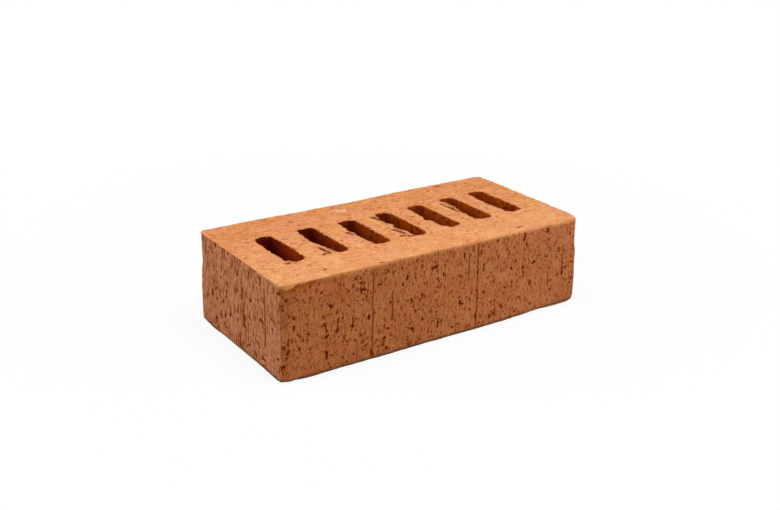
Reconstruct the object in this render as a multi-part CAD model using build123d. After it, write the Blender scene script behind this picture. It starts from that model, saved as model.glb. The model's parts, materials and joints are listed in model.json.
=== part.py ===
from build123d import *
import os

# Slotted clay facing brick, lying on its bed face.
# Wet clay is pushed through a die, so the section stays the same from bottom to top.
# A wire cuts the column off at the lower and the upper bed face, and the brick is then fired.
# Millimetres: X runs along the brick, Y across it and Z up.
# The origin is the middle of the lower bed face.

# Outside of the brick
LENGTH = 220.0
WIDTH = 105.0
HEIGHT = 60.0
ARRIS_RADIUS = 4.5  # upright edges, rounded by the corners of the die
CUT_EDGE_RADIUS = 1.5  # rims of the two bed faces, dragged round by the wire

# Row of slots, one for each core of the die
SLOT_COUNT = 7
SLOT_WIDTH = 12.6  # along the brick
SLOT_LENGTH = 45.5  # across the brick
SLOT_CORNER_RADIUS = 4.5
LEFT_WEB = 20.9  # clay between the left end face and the first slot
RIGHT_WEB = 22.7  # clay between the last slot and the right end face
PITCH_STEP = 0.7  # the slots close up by this much from each gap to the next


def slot_centres():
    """Places of the slots along the brick: the row fills the length between the two end webs,
    and its pitch shrinks by one step from each gap to the next."""
    first = -LENGTH / 2 + LEFT_WEB + SLOT_WIDTH / 2
    last = LENGTH / 2 - RIGHT_WEB - SLOT_WIDTH / 2
    gaps = SLOT_COUNT - 1
    first_pitch = (last - first) / gaps + PITCH_STEP * (gaps - 1) / 2
    centres = [first]
    for gap in range(gaps):
        centres.append(centres[-1] + first_pitch - gap * PITCH_STEP)
    return centres


def die_section():
    """Section of the clay column: a rectangle with rounded corners, less the row of slots."""
    slot = RectangleRounded(SLOT_WIDTH, SLOT_LENGTH, SLOT_CORNER_RADIUS)
    slots = [Pos(x, 0) * slot for x in slot_centres()]
    return RectangleRounded(LENGTH, WIDTH, ARRIS_RADIUS) - slots


def bed_rims(column):
    """Outer edges of the two bed faces; the mouths of the slots stay sharp."""
    beds = column.faces().filter_by(Axis.Z)
    return [edge for bed in beds for edge in bed.outer_wire().edges()]


def brick():
    """One brick's height of the column, with the rims of its bed faces rounded."""
    column = extrude(die_section(), HEIGHT)
    return fillet(bed_rims(column), CUT_EDGE_RADIUS)


os.makedirs("parts", exist_ok=True)
export_step(brick(), "parts/brick.step")
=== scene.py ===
"""One fired clay facing brick with a row of slots, lying on a pale studio floor.

The brick is one closed surface. It starts as a sharp box with round upright arrises and straight slots, laid
out on grid lines. Its edges are then rounded, torn and worn, and its faces get the drag marks, pits and tears
of clay that was pushed through a die and cut by a wire. Lengths are in millimetres until the mesh is written.
"""

import json
import math
from types import SimpleNamespace

import bpy
import numpy as np
from mathutils import Matrix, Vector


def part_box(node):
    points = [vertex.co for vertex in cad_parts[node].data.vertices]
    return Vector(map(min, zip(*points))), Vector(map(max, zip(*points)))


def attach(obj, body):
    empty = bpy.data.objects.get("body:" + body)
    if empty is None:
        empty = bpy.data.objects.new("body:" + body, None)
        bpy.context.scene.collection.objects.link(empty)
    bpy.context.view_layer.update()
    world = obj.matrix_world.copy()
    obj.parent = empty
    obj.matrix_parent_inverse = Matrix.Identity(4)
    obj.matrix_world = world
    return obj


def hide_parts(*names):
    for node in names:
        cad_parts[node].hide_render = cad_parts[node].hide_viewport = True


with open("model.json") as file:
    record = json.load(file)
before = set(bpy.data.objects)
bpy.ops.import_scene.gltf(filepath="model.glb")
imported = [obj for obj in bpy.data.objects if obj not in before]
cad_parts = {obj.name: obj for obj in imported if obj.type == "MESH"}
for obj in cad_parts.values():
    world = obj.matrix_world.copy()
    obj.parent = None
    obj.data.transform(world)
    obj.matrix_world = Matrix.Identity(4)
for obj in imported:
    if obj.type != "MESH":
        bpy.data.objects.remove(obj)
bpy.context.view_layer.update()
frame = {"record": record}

# Sizes of the brick, from the frame
MM = 0.001
LOW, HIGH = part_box("brick")
LENGTH = (HIGH.x - LOW.x) / MM
WIDTH = (HIGH.y - LOW.y) / MM
HEIGHT = (HIGH.z - LOW.z) / MM
OPENINGS = frame["record"]["physics"]["openings"]
SLOT_CENTRES = np.array([(slot["box_m"][0][0] + slot["box_m"][1][0]) / 2 / MM for slot in OPENINGS])

# Sizes of the die that the frame doesn't state
SLOT_WIDTH = 12.6
SLOT_LENGTH = 45.5
SLOT_CORNER = 4.5
ARRIS = 4.5

# Grid of the surface: its steps, the first ones from a rim and from a mouth, half the width of the band that
# holds the slots, and where the rings lie on the way from a mouth to the border of its cell
STEP_ALONG = 0.86
STEP_ACROSS = 1.3
STEP_UP = 1.12
STEP_IN_SLOT = 7.5
EDGE_STEPS = (0.3, 0.45, 0.6, 0.85)
MOUTH_STEPS = (0.25, 0.45, 0.7, 1.0)
SLOT_BAND = SLOT_LENGTH / 2 + 3.2
CELL_LAYERS = (0.0, 0.035, 0.085, 0.16, 0.27, 0.42, 0.6, 0.8)

# Kinds of vertex
WALL = 0
TOP_BED = 1
LOWER_BED = 2
SLOT_WALL = 3


def smooth_step(low, high, value):
    """Zero up to low, one from high, and the cubic 3t² - 2t³ between them."""
    t = np.clip((value - low) / (high - low), 0.0, 1.0)
    return t * t * (3.0 - 2.0 * t)


def lattice_random(i, j, k, seed):
    """A fixed random number from 0 to 1 for each whole-number lattice point: its coordinates are mixed by
    large odd factors, and the bits of the sum are folded over twice."""
    mixed = (i * 374761393 + j * 668265263 + k * 1442695041 + seed * 974634777) & 0xFFFFFFFF
    mixed = ((mixed ^ (mixed >> 13)) * 1274126177) & 0xFFFFFFFF
    mixed = ((mixed ^ (mixed >> 15)) * 668265263) & 0xFFFFFFFF
    return (mixed ^ (mixed >> 16)) / 0xFFFFFFFF


def noise(points, size, seed):
    """Smooth noise from -1 to 1: random values at the corners of lattice cells of the given size, which may
    differ along the three axes, blended inside each cell by cubic steps."""
    scaled = points / np.asarray(size, float)
    cell = np.floor(scaled).astype(np.int64)
    share = scaled - cell
    share = share * share * (3.0 - 2.0 * share)
    total = np.zeros(len(points))
    for corner in np.ndindex(2, 2, 2):
        weight = np.prod(np.where(corner, share, 1.0 - share), axis=1)
        total += weight * lattice_random(*(cell + corner).T, seed)
    return 2.0 * total - 1.0


def scattered_pits(along, up, cell, share, half_width, stretch, seed):
    """Pits scattered over a face: each cell of a square lattice holds one oval pit at a random place and of a
    random size, or none. Returns how deep each point is in the deepest pit near it, from 0 to 1."""
    column = np.floor(along / cell).astype(np.int64)
    row = np.floor(up / cell).astype(np.int64)
    depth = np.zeros(len(along))
    for step in np.ndindex(3, 3):
        i = column + step[0] - 1
        j = row + step[1] - 1
        draw = [lattice_random(i, j, np.int64(n), seed) for n in range(6)]
        wide = half_width[0] + (half_width[1] - half_width[0]) * draw[0] ** 3
        tall = wide * (stretch[0] + (stretch[1] - stretch[0]) * draw[1] ** 2)
        reach = np.hypot((along - (i + draw[2]) * cell) / wide, (up - (j + draw[3]) * cell) / tall)
        strength = PIT_LEAST + (1.0 - PIT_LEAST) * draw[5]
        pit = (draw[4] < share) * strength * (1.0 - smooth_step(*PIT_FADE, reach))
        depth = np.maximum(depth, pit)
    return depth


def graded_line(length, step, first_steps):
    """Distances from an edge: the given short steps next to it, then equal steps to the end of the length."""
    first = np.concatenate([[0.0], np.cumsum(first_steps)])
    count = max(1, round((length - first[-1]) / step))
    return np.concatenate([first[:-1], np.linspace(first[-1], length, count + 1)])


def mirrored_line(half, step, first_steps):
    """A graded line from both ends of a length to its middle, from 0 to twice the half."""
    line = graded_line(half, step, first_steps)
    return np.concatenate([line, 2.0 * half - line[-2::-1]])


def round_corners(x, y, half_x, half_y, radius):
    """Draw a rectangle's corners in to arcs: in the square of one radius at each corner, the point (a, b)
    goes to (a sqrt(1 - b²/2), b sqrt(1 - a²/2)), which turns the square into a quarter of a disc."""
    a = np.clip((np.abs(x) - half_x + radius) / radius, 0.0, 1.0)
    b = np.clip((np.abs(y) - half_y + radius) / radius, 0.0, 1.0)
    round_x = np.sign(x) * (half_x - radius + radius * a * np.sqrt(1.0 - b * b / 2.0))
    round_y = np.sign(y) * (half_y - radius + radius * b * np.sqrt(1.0 - a * a / 2.0))
    return np.where(a > 0.0, round_x, x), np.where(b > 0.0, round_y, y)


def outline_distance(x, y, half_x, half_y, radius):
    """Distance outwards from a rectangle with round corners, below zero inside it, and the unit direction in
    which the distance grows."""
    over_x = np.abs(x) - half_x + radius
    over_y = np.abs(y) - half_y + radius
    corner = np.hypot(np.maximum(over_x, 0.0), np.maximum(over_y, 0.0))
    distance = corner + np.minimum(np.maximum(over_x, over_y), 0.0) - radius
    safe = np.maximum(corner, 1e-9)
    out_x = np.where(corner > 0.0, np.maximum(over_x, 0.0) / safe, over_x >= over_y)
    out_y = np.where(corner > 0.0, np.maximum(over_y, 0.0) / safe, over_x < over_y)
    return distance, np.sign(x) * out_x, np.sign(y) * out_y


def round_edge(depth, inset, radius):
    """Round a square edge: a point at the given depth below the bed and inset behind the wall moves onto the
    quarter circle about the point that lies one radius in from both. Returns the new depth and inset, and the
    normal's share towards the bed and towards the wall."""
    near = (depth < radius) & (inset < radius)
    reach = np.hypot(radius - depth, radius - inset)
    shrink = radius / np.maximum(reach, 1e-9)
    new_depth = np.where(near, radius - (radius - depth) * shrink, depth)
    new_inset = np.where(near, radius - (radius - inset) * shrink, inset)
    to_bed = np.where(near, (radius - new_depth) / radius, depth <= inset)
    to_wall = np.where(near, (radius - new_inset) / radius, depth > inset)
    return new_depth, new_inset, to_bed, to_wall


# The sharp brick


def loop_of(grid):
    """Border of a grid of vertex numbers as one loop, anticlockwise seen from above."""
    return np.concatenate([grid[:-1, 0], grid[-1, :-1], grid[:0:-1, -1], grid[0, :0:-1]])


def band_quads(lower, upper):
    """Quads between two closed loops of vertex numbers, facing right of the loops' direction."""
    return np.stack([lower, np.roll(lower, -1), np.roll(upper, -1), upper], axis=1)


def grid_lines():
    """Lines of the grid: along and across the beds, up the walls and down the slots, and the first and last
    row and the columns that border the slots' cells."""
    half_gaps = np.diff(SLOT_CENTRES) / 2
    inner_edges = SLOT_CENTRES[:-1] + half_gaps
    cell_edges = np.concatenate([
        [SLOT_CENTRES[0] - half_gaps[0]], inner_edges, [SLOT_CENTRES[-1] + half_gaps[-1]]])
    left = -LENGTH / 2 + graded_line(cell_edges[0] + LENGTH / 2, STEP_ALONG, EDGE_STEPS)
    right = LENGTH / 2 - graded_line(LENGTH / 2 - cell_edges[-1], STEP_ALONG, EDGE_STEPS)[::-1]
    cells = [
        np.linspace(low, high, round((high - low) / STEP_ALONG) + 1)[1:]
        for low, high in zip(cell_edges, cell_edges[1:])]
    along = np.concatenate([left] + cells + [right[1:]])
    strip = graded_line(WIDTH / 2 - SLOT_BAND, STEP_ACROSS, EDGE_STEPS)
    band = np.linspace(-SLOT_BAND, SLOT_BAND, round(2 * SLOT_BAND / STEP_ACROSS) + 1)
    across = np.concatenate([strip - WIDTH / 2, band[1:-1], WIDTH / 2 - strip[::-1]])
    up = mirrored_line(HEIGHT / 2, STEP_UP, EDGE_STEPS)
    down_slot = mirrored_line(HEIGHT / 2, STEP_IN_SLOT, MOUTH_STEPS)
    first_row = len(strip) - 1
    last_row = first_row + len(band) - 1
    columns = [int(np.argmin(np.abs(along - edge))) for edge in cell_edges]
    return along, across, up, down_slot, (first_row, last_row), columns


def mouth_outline(shape, centre):
    """Outline of a slot's mouth, point by point for the border of a block of the given shape."""
    share_x = np.linspace(-1.0, 1.0, shape[0])[:, None] * np.ones(shape[1])
    share_y = np.ones(shape[0])[:, None] * np.linspace(-1.0, 1.0, shape[1])
    x, y = round_corners(
        loop_of(share_x) * SLOT_WIDTH / 2, loop_of(share_y) * SLOT_LENGTH / 2,
        SLOT_WIDTH / 2, SLOT_LENGTH / 2, SLOT_CORNER)
    return x + centre, y


def sharp_brick():
    """The brick with square edges: two beds as grids of lines along and across, less one cell around each
    slot; in each cell, rings that pass from the slot's outline to the cell's border; and walls and slot
    walls as loops carried up. Returns the points, the kind of each, and the quads."""
    along, across, up, down_slot, rows, columns = grid_lines()
    points, kinds, quads = [], [], []

    def add_points(x, y, z, kind):
        """Add one kind of point at arrays of places, and return their numbers in an array of that shape."""
        start = sum(len(part) for part in points)
        points.append(np.stack([x, y, np.broadcast_to(z, x.shape)], axis=-1).reshape(-1, 3))
        kinds.append(np.full(x.size, kind))
        return np.arange(start, start + x.size).reshape(x.shape)

    grid_x, grid_y = round_corners(*np.meshgrid(along, across, indexing="ij"), LENGTH / 2, WIDTH / 2, ARRIS)
    beds = {}
    mouths = {}
    for kind, height in ((LOWER_BED, 0.0), (TOP_BED, HEIGHT)):
        beds[kind] = add_points(grid_x, grid_y, height, kind)
        kept = np.ones((len(along) - 1, len(across) - 1), bool)
        kept[columns[0]:columns[-1], rows[0]:rows[1]] = False
        bed = beds[kind]
        plain = np.stack([bed[:-1, :-1], bed[1:, :-1], bed[1:, 1:], bed[:-1, 1:]], axis=-1)[kept]
        faces = [plain]
        for number, centre in enumerate(SLOT_CENTRES):
            block = (slice(columns[number], columns[number + 1] + 1), slice(rows[0], rows[1] + 1))
            border = loop_of(bed[block])
            border_x, border_y = loop_of(grid_x[block]), loop_of(grid_y[block])
            mouth_x, mouth_y = mouth_outline(bed[block].shape, centre)
            share = np.array(CELL_LAYERS)[:, None]
            rings = add_points(
                mouth_x + (border_x - mouth_x) * share, mouth_y + (border_y - mouth_y) * share, height, kind)
            mouths[kind, number] = (rings[0], mouth_x, mouth_y)
            loops = list(rings) + [border]
            faces += [band_quads(outer, inner) for inner, outer in zip(loops, loops[1:])]
        faces = np.concatenate(faces)
        quads.append(faces if kind == TOP_BED else faces[:, ::-1])

    rim_x, rim_y = loop_of(grid_x), loop_of(grid_y)
    ones = np.ones((len(up) - 2, 1))
    middle = add_points(ones * rim_x, ones * rim_y, up[1:-1, None], WALL)
    loops = [loop_of(beds[LOWER_BED])] + list(middle) + [loop_of(beds[TOP_BED])]
    quads += [band_quads(lower, upper) for lower, upper in zip(loops, loops[1:])]
    for number in range(len(SLOT_CENTRES)):
        lower_mouth, mouth_x, mouth_y = mouths[LOWER_BED, number]
        ones = np.ones((len(down_slot) - 2, 1))
        middle = add_points(ones * mouth_x, ones * mouth_y, down_slot[1:-1, None], SLOT_WALL)
        loops = [lower_mouth] + list(middle) + [mouths[TOP_BED, number][0]]
        quads += [band_quads(upper, lower) for lower, upper in zip(loops, loops[1:])]

    points, kinds, quads = np.concatenate(points), np.concatenate(kinds), np.concatenate(quads)
    used, numbers = np.unique(quads, return_inverse=True)
    return points[used], kinds[used], numbers.reshape(quads.shape)


# Wear, tears and texture

# Marks left by the die, as strokes from one place to another with a half width.
# On the front they are measured from its left end and up, on the left end from its front edge and up, and on
# the upper bed from its middle along X and Y.
FRONT_STROKES = (
    (3.5, 51.0, 3.5, 50.0, 0.9), (31.5, 42.0, 33.0, 40.5, 0.9), (48.5, 54.0, 50.0, 55.0, 0.9),
    (52.0, 50.5, 55.5, 50.5, 0.7), (54.5, 47.0, 55.0, 45.5, 0.8), (52.5, 48.5, 53.0, 43.0, 0.6),
    (71.5, 54.5, 71.5, 53.0, 0.8), (63.0, 46.0, 66.5, 46.5, 0.7), (81.5, 43.5, 81.5, 42.5, 0.9),
    (84.5, 47.5, 84.5, 46.0, 0.8), (103.0, 48.5, 106.5, 49.5, 1.0), (87.5, 32.0, 88.5, 30.0, 0.9),
    (95.5, 33.5, 96.0, 32.0, 0.9), (47.0, 31.5, 47.0, 26.0, 0.6), (46.0, 25.0, 47.5, 24.5, 0.9),
    (37.0, 32.0, 36.5, 26.5, 0.6), (35.5, 24.5, 37.0, 25.0, 1.0), (28.0, 31.0, 29.5, 25.5, 0.7),
    (29.0, 22.5, 30.5, 23.0, 0.8), (41.0, 19.5, 43.0, 15.5, 0.7), (29.0, 13.0, 29.0, 9.5, 1.0),
    (69.0, 12.0, 68.5, 7.0, 0.8), (60.0, 7.0, 60.0, 1.5, 0.8), (85.5, 14.5, 87.0, 13.0, 0.7),
    (88.5, 13.0, 90.0, 11.5, 1.0), (96.0, 18.0, 96.0, 17.0, 0.8), (70.0, 17.5, 72.0, 17.5, 0.7),
    (58.0, 28.5, 58.0, 27.5, 0.9), (4.5, 26.5, 4.0, 22.5, 0.6), (4.0, 20.5, 3.5, 18.0, 0.7),
    (3.0, 16.0, 2.5, 14.5, 0.9), (0.5, 11.0, 1.0, 9.5, 1.0), (8.0, 40.0, 8.5, 38.5, 0.8),
    (17.0, 39.5, 17.0, 38.5, 0.8), (8.5, 34.5, 8.0, 31.0, 0.7),
    (70.5, 5.5, 70.5, 3.0, 0.8), (108.0, 14.5, 107.5, 8.5, 0.7), (11.5, 20.5, 12.0, 19.5, 0.8),
    (111.5, 44.0, 111.5, 42.0, 0.9), (124.5, 22.0, 124.5, 20.0, 1.1), (125.5, 19.5, 126.5, 20.5, 0.8),
    (126.5, 53.5, 127.0, 50.5, 0.7), (142.0, 43.5, 142.0, 38.5, 0.6), (142.5, 24.0, 143.0, 23.5, 1.0),
    (162.0, 47.0, 162.0, 43.0, 0.6), (164.0, 36.0, 164.5, 35.0, 0.9), (174.5, 57.0, 173.5, 52.5, 0.8),
    (176.0, 50.0, 176.5, 48.0, 0.8), (193.0, 57.5, 193.0, 55.5, 0.9), (191.5, 55.0, 194.5, 55.0, 0.7),
    (182.0, 35.5, 184.0, 36.0, 0.8), (173.5, 35.0, 174.0, 31.0, 0.7), (192.5, 38.0, 193.0, 37.5, 0.8),
    (204.0, 40.5, 204.0, 39.0, 0.9), (209.0, 26.5, 211.5, 27.0, 0.9), (208.0, 24.5, 208.0, 22.5, 0.9),
    (159.0, 24.0, 159.5, 23.5, 0.9), (180.5, 22.5, 180.5, 21.0, 0.9), (172.0, 14.5, 172.5, 13.0, 0.8),
    (157.0, 12.0, 158.5, 10.5, 0.7), (148.0, 7.5, 149.0, 5.5, 0.9), (151.0, 8.0, 153.0, 6.5, 0.8),
    (181.5, 8.0, 182.0, 7.0, 0.8), (137.5, 39.0, 137.5, 38.0, 0.9), (138.0, 21.5, 138.0, 20.5, 0.9),
    (137.0, 11.5, 137.0, 8.5, 0.7))
LEFT_STROKES = (
    (37.0, 38.5, 38.5, 37.5, 1.2), (47.5, 42.0, 48.5, 35.0, 0.8), (53.0, 51.5, 53.5, 48.5, 0.9),
    (45.5, 25.0, 46.0, 18.0, 0.9), (68.5, 33.0, 69.5, 28.0, 0.8), (64.0, 21.5, 65.0, 17.5, 0.8),
    (71.0, 18.0, 71.5, 14.0, 1.0), (76.5, 16.5, 77.0, 11.5, 0.8), (84.0, 10.0, 85.0, 6.0, 0.9),
    (52.0, 14.0, 52.5, 3.0, 0.6), (40.0, 9.5, 43.5, 6.5, 0.8), (28.0, 12.5, 29.5, 14.5, 0.9),
    (5.0, 14.5, 6.0, 14.0, 1.1), (1.5, 10.5, 2.0, 9.5, 1.1), (11.0, 40.0, 11.5, 39.5, 1.0),
    (11.0, 30.5, 11.5, 29.0, 0.8), (25.5, 31.0, 26.0, 29.5, 0.9), (31.0, 30.5, 32.0, 29.5, 0.9),
    (88.5, 27.0, 89.0, 21.5, 0.8), (83.0, 29.5, 84.0, 29.0, 0.8), (74.0, 24.5, 74.5, 22.5, 0.9),
    (53.5, 39.0, 53.5, 38.5, 0.8), (61.0, 43.0, 61.0, 42.5, 0.8), (25.0, 57.0, 25.0, 52.0, 0.7),
    (2.5, 55.5, 4.0, 54.5, 1.0), (81.5, 58.5, 82.0, 57.0, 0.9), (72.5, 58.0, 72.5, 56.5, 0.9),
    (81.5, 41.5, 81.5, 38.5, 0.7), (21.5, 6.5, 25.0, 7.0, 0.9))
TOP_STROKES = (
    (-61.5, -12.0, -59.5, -21.5, 1.4), (-64.5, -22.5, -61.5, -21.0, 1.3), (-90.0, -24.0, -87.0, -23.0, 1.0),
    (-33.5, 1.5, -32.5, -2.5, 1.5), (-8.0, -20.5, -5.0, -21.5, 1.4), (-4.0, -23.5, -1.5, -24.5, 1.1),
    (-5.0, 17.0, -3.0, 11.0, 2.1), (-6.0, -9.0, -4.5, -18.0, 1.4), (49.0, 16.0, 49.5, -2.0, 1.1),
    (51.5, 19.0, 54.5, 18.0, 0.9), (17.5, 6.5, 18.5, 5.5, 1.1),
    (13.5, 0.5, 15.0, -0.5, 0.9), (62.0, -46.5, 67.5, -47.0, 0.7), (66.0, 48.0, 72.0, 47.5, 0.7),
    (-43.5, -50.5, -41.5, -51.0, 0.7), (-76.5, -42.5, -75.0, -43.0, 0.7), (-72.0, 12.5, -70.5, 11.5, 0.9))

# Where a stroke starts and ends to fade, in half widths from its line, and how much of a point's direction a
# side has to have for its strokes to be cut there
STROKE_EDGE = (0.4, 1.4)
FACE_SHARE = 0.3

# Pits scattered over the faces: step of the lattice, share of its cells that hold a pit, least and greatest
# half width, least and greatest length over width, and seed; those of the long sides weaken along the brick
LONG_PITS = (6.0, 0.5, (0.6, 1.1), (1.0, 3.0), 41)
END_PITS = (5.2, 0.6, (0.6, 1.0), (1.6, 4.0), 43)
BED_PITS = (8.0, 0.2, (0.6, 1.0), (0.6, 1.0), 42)
LONG_PIT_SHARES = (1.0, 0.6, -10.0, 40.0)

# Least depth of such a pit, and where it fades as a share of its half width
PIT_LEAST = 0.45
PIT_FADE = (0.3, 1.0)

# Upper mouths of the slots, from left to right: how far the left edge is torn, and how far the wire dragged
# the mouth along the brick and across it; then how far that shift reaches from a mouth and up the slot, and
# where an edge passes into a left one, by its direction
MOUTH_TEARS = np.array([0.4, 0.8, 0.8, 1.0, 0.8, 0.7, 0.45])
MOUTH_ALONG = np.array([0.5, 0.2, 1.0, 0.4, 0.2, 0.8, 0.8])
MOUTH_ACROSS = np.array([-1.0, -1.4, -2.3, -2.2, -1.0, 0.8, 1.4])
MOUTH_REACH = 7.0
MOUTH_HEIGHTS = (20.0, 60.0)
LEFT_EDGE = (0.0, 0.8)

# Edges of all mouths: radius, least tear of the upper and the lower ones, range of a tear, how far it
# reaches down the slot and along the bed, its share sideways and downwards, and the distance at which a
# mouth counts as far
MOUTH_RADIUS = 0.35
TOP_TEAR = 0.9
LOWER_TEAR = 0.4
TEAR_RANGE = (-0.8, 1.2)
TEAR_DOWN = 3.0
TEAR_ALONG = 1.3
TEAR_SIDEWAYS = 1.1
TEAR_SINK = 0.5
MOUTH_FAR = 4.0

# Burrs of raw clay on the left edges of the mouths: slot, middle and half length along the edge, and
# thickness, which is below zero for a bite; then where a burr starts and ends to thin out, in half lengths
MOUTH_BURRS = (
    (0, 22.0, 7.0, 0.9), (0, 4.0, 14.0, -0.6), (0, -23.0, 5.0, 2.6),
    (1, 20.0, 6.0, 1.2), (1, -26.0, 26.0, 4.5),
    (2, 15.0, 10.0, 0.5), (2, 0.5, 3.5, 1.1), (2, -18.0, 4.5, 1.4),
    (3, 20.0, 8.0, 1.6), (3, 0.6, 4.5, 2.5), (3, -17.0, 13.0, 2.8),
    (4, 17.0, 9.0, 0.9), (4, -3.0, 5.5, -1.5), (4, -23.0, 6.0, 2.8),
    (5, 10.0, 18.0, 3.4),
    (6, 18.0, 10.0, 0.9), (6, -18.0, 12.0, 0.8))
BURR_EDGE = (0.1, 1.0)

# Raw clay on the beds: its share for a tear and for a burr of a left edge, with its reach, and its share and
# reach all round a mouth
RAW_TEAR = 0.5
RAW_BURR = 0.3
RAW_REACH = 2.2
MOUTH_RAW = 0.3
MOUTH_RAW_REACH = 1.6

# Corners knocked off: the corner, the way it was struck from, and how deep
KNOCKED_CORNERS = (
    ((-1, -1, -1), (-0.17, -0.5, -1.4), 1.75),
    ((1, -1, -1), (1.0, -0.7, -1.1), 3.0),
    ((-1, 1, -1), (-0.5, 0.14, -1.4), 1.6),
    ((1, 1, -1), (1.0, 1.0, -1.0), 2.4),
    ((1, -1, 1), (0.7, -0.35, 1.0), 2.7),
    ((1, 1, 1), (1.0, 1.0, 1.0), 2.2))
KNOCK_SOFTNESS = 0.5

# Radii of the rims. Where one changes along the brick, or across it on the left end, these are its first
# and last radius and the places where the change starts and ends. The upper back one is rounder in the
# middle: by how much, where that starts and ends to grow, and where it starts and ends to shrink.
UPPER_FRONT_RIM = (1.2, 3.5, -30.0, 50.0)
UPPER_RIGHT_RIM = 1.2
UPPER_LEFT_RIM = 0.7
UPPER_BACK_RIM = 1.2
UPPER_BACK_RISE = (1.4, -60.0, -30.0, 10.0, 40.0)
LOWER_FRONT_RIM = (1.5, 7.0, 40.0, 110.0)
LOWER_LEFT_RIM = (1.0, 2.9, -50.0, 0.0)
LOWER_RIM = 1.3

# Upright arrises that differ from the die's radius: how far each reaches along the brick and across it. The
# near left one is drawn out along the front; the rear left and near right ones are sharp towards the foot.
NEAR_ARRIS = (7.0, 2.2)
SHARP_ARRIS = (1.2, 1.2)
REAR_ARRIS_HEIGHTS = (46.0, 22.0)
RIGHT_ARRIS_HEIGHTS = (56.0, 20.0)
ARRIS_REACH = 20.0
ARRIS_FADE = (14.0, 34.0)
ARRIS_WEAR = 0.3

# Clay that the wire dragged over the upper rim. On the front it reaches down by one depth, and on the left
# end from one depth at the front to another behind; its lower edge is crisp at the left and soft at the
# right.
DRAG_FRONT = 1.5
DRAG_LEFT = (1.3, 0.39, -35.0, 5.0)
DRAG_SOFTNESS = (0.75, 1.5, 20.0, 70.0)
DRAG_EDGE = (-0.6, 1.0)

# Tongue of that clay beside the near corner: its drop, the share of that from the corner on, where it tapers,
# its lower edge, the drop at which it starts and is whole, and its thickness
LIP_DROP = 3.4
LIP_CORNER = (0.7, 1.0, -1.0, 4.0)
LIP_TAPER = (4.0, 15.0)
LIP_EDGE = (-1.0, 0.8)
LIP_LEAST = (0.3, 1.2)
LIP_THICKNESS = 0.5

# Painted shade below the dragged clay: its upper and its lower edge, measured from that clay, where it fades
# along the front, and how deep that band is also sunk
SHADE_TOP = (-0.7, 0.1)
SHADE_FOOT = (1.2, 4.0)
SHADE_FADE = (10.0, 46.0)
SHADE_DEPTH = 0.2

# Wear of the rims on the front, right, back and left: bites, and marks that gather there; and their reach,
# the share of them on the lower rim, and the level and depth of the bites
RIM_BITES = (0.25, 1.0, 0.4, 0.5)
LOWER_BITES = 0.4
BITE_REACH = 1.6
BITE_LEVEL = 0.15
BITE_DEPTH = 0.9
RIM_MARKS = (0.35, 1.0, 0.5, 1.0)
LOWER_MARKS = 0.5
RIM_MARKS_REACH = 5.0

# Painted shade: how far it reaches up from the foot and in under the brick, how far it reaches from the right
# end and round the arris there, and its share on that arris
FOOT_UP = (1.2, 3.0)
FOOT_UNDER = (0.5, 3.0)
RIGHT_REACH = (0.8, 4.0)
RIGHT_TURN = (0.7, 0.95)
RIGHT_ARRIS_SHADE = 0.45

# Pale smear on the upper bed: its middle, half sizes and lean, and its edge as shares of the half sizes
SMEAR_MIDDLE = (-16.0, 38.6)
SMEAR_HALF = (8.0, 3.6)
SMEAR_LEAN = 0.2
SMEAR_EDGE = (0.1, 1.2)

# Where a bed passes into a side, by the upward share of the normal, and a long side into an end, by the
# end's share
BED_EDGE = (0.2, 0.8)
END_EDGE = (0.6, 0.95)

# How far the worn beds and sides lie inside the sharp ones, and how deep a pit is
BED_INSET = 0.15
WALL_INSET = 0.5
PIT_DEPTH = 0.5

# Layers of noise: height, size of the waves, which may differ along X, Y and Z, and seed
RIM_WAVES = ((0.3, 14.0, 11),)
MOUTH_WAVES = ((0.15, 4.0, 12),)
FACE_WAVES = ((0.12, 26.0, 21),)
SIDE_WAVES = ((0.10, (1.3, 1.3, 22.0), 22), (0.06, (2.6, 2.6, 35.0), 23))
BED_WAVES = ((0.05, (7.0, 2.0, 2.0), 24),)
SLOT_WAVES = ((0.25, (2.0, 2.0, 14.0), 25), (0.15, 4.5, 27))
GRAIN_WAVES = ((0.06, 1.6, 26),)
ARRIS_WAVES = ((0.45, (30.0, 30.0, 7.0), 28),)
ARRIS_HEIGHT_WAVES = ((9.0, 9.0, 29),)
PIT_PLACE_WAVES = ((0.45, 1.7, 31),)
PIT_HEIGHT_WAVES = ((0.45, 1.9, 32),)
TEAR_WAVES = ((1.0, (1.9, 2.0, 8.0), 51), (0.4, 6.5, 52))
BITE_WAVES = ((0.7, 5.0, 53), (0.8, 2.2, 54))
LIP_WAVES = ((0.4, 2.4, 57),)
DRAG_WAVES = ((0.5, (3.5, 3.5, 8.0), 58),)
FOOT_WAVES = ((0.3, 3.0, 59),)
PAINTED_SHADE_WAVES = ((0.4, 6.0, 60),)
KNOCK_WAVES = ((0.5, 3.5, 61),)
SMEAR_WAVES = ((0.4, 2.4, 73),)


def layers(points, waves):
    """Sum of layers of noise, each times its own height."""
    return sum(height * noise(points, size, seed) for height, size, seed in waves)


def passage(value, first, last, low, high):
    """Smooth passage from a first number, up to low, to a last one, from high."""
    return first + (last - first) * smooth_step(low, high, value)


def nearest_slot(points):
    """For each point: distance to the outline of the nearest slot, the direction away from that slot, and the
    slot's number."""
    number = np.argmin(np.abs(points[:, 0, None] - SLOT_CENTRES), axis=1)
    local_x = points[:, 0] - SLOT_CENTRES[number]
    distance, out_x, out_y = outline_distance(
        local_x, points[:, 1], SLOT_WIDTH / 2, SLOT_LENGTH / 2, SLOT_CORNER)
    return distance, out_x, out_y, number


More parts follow.
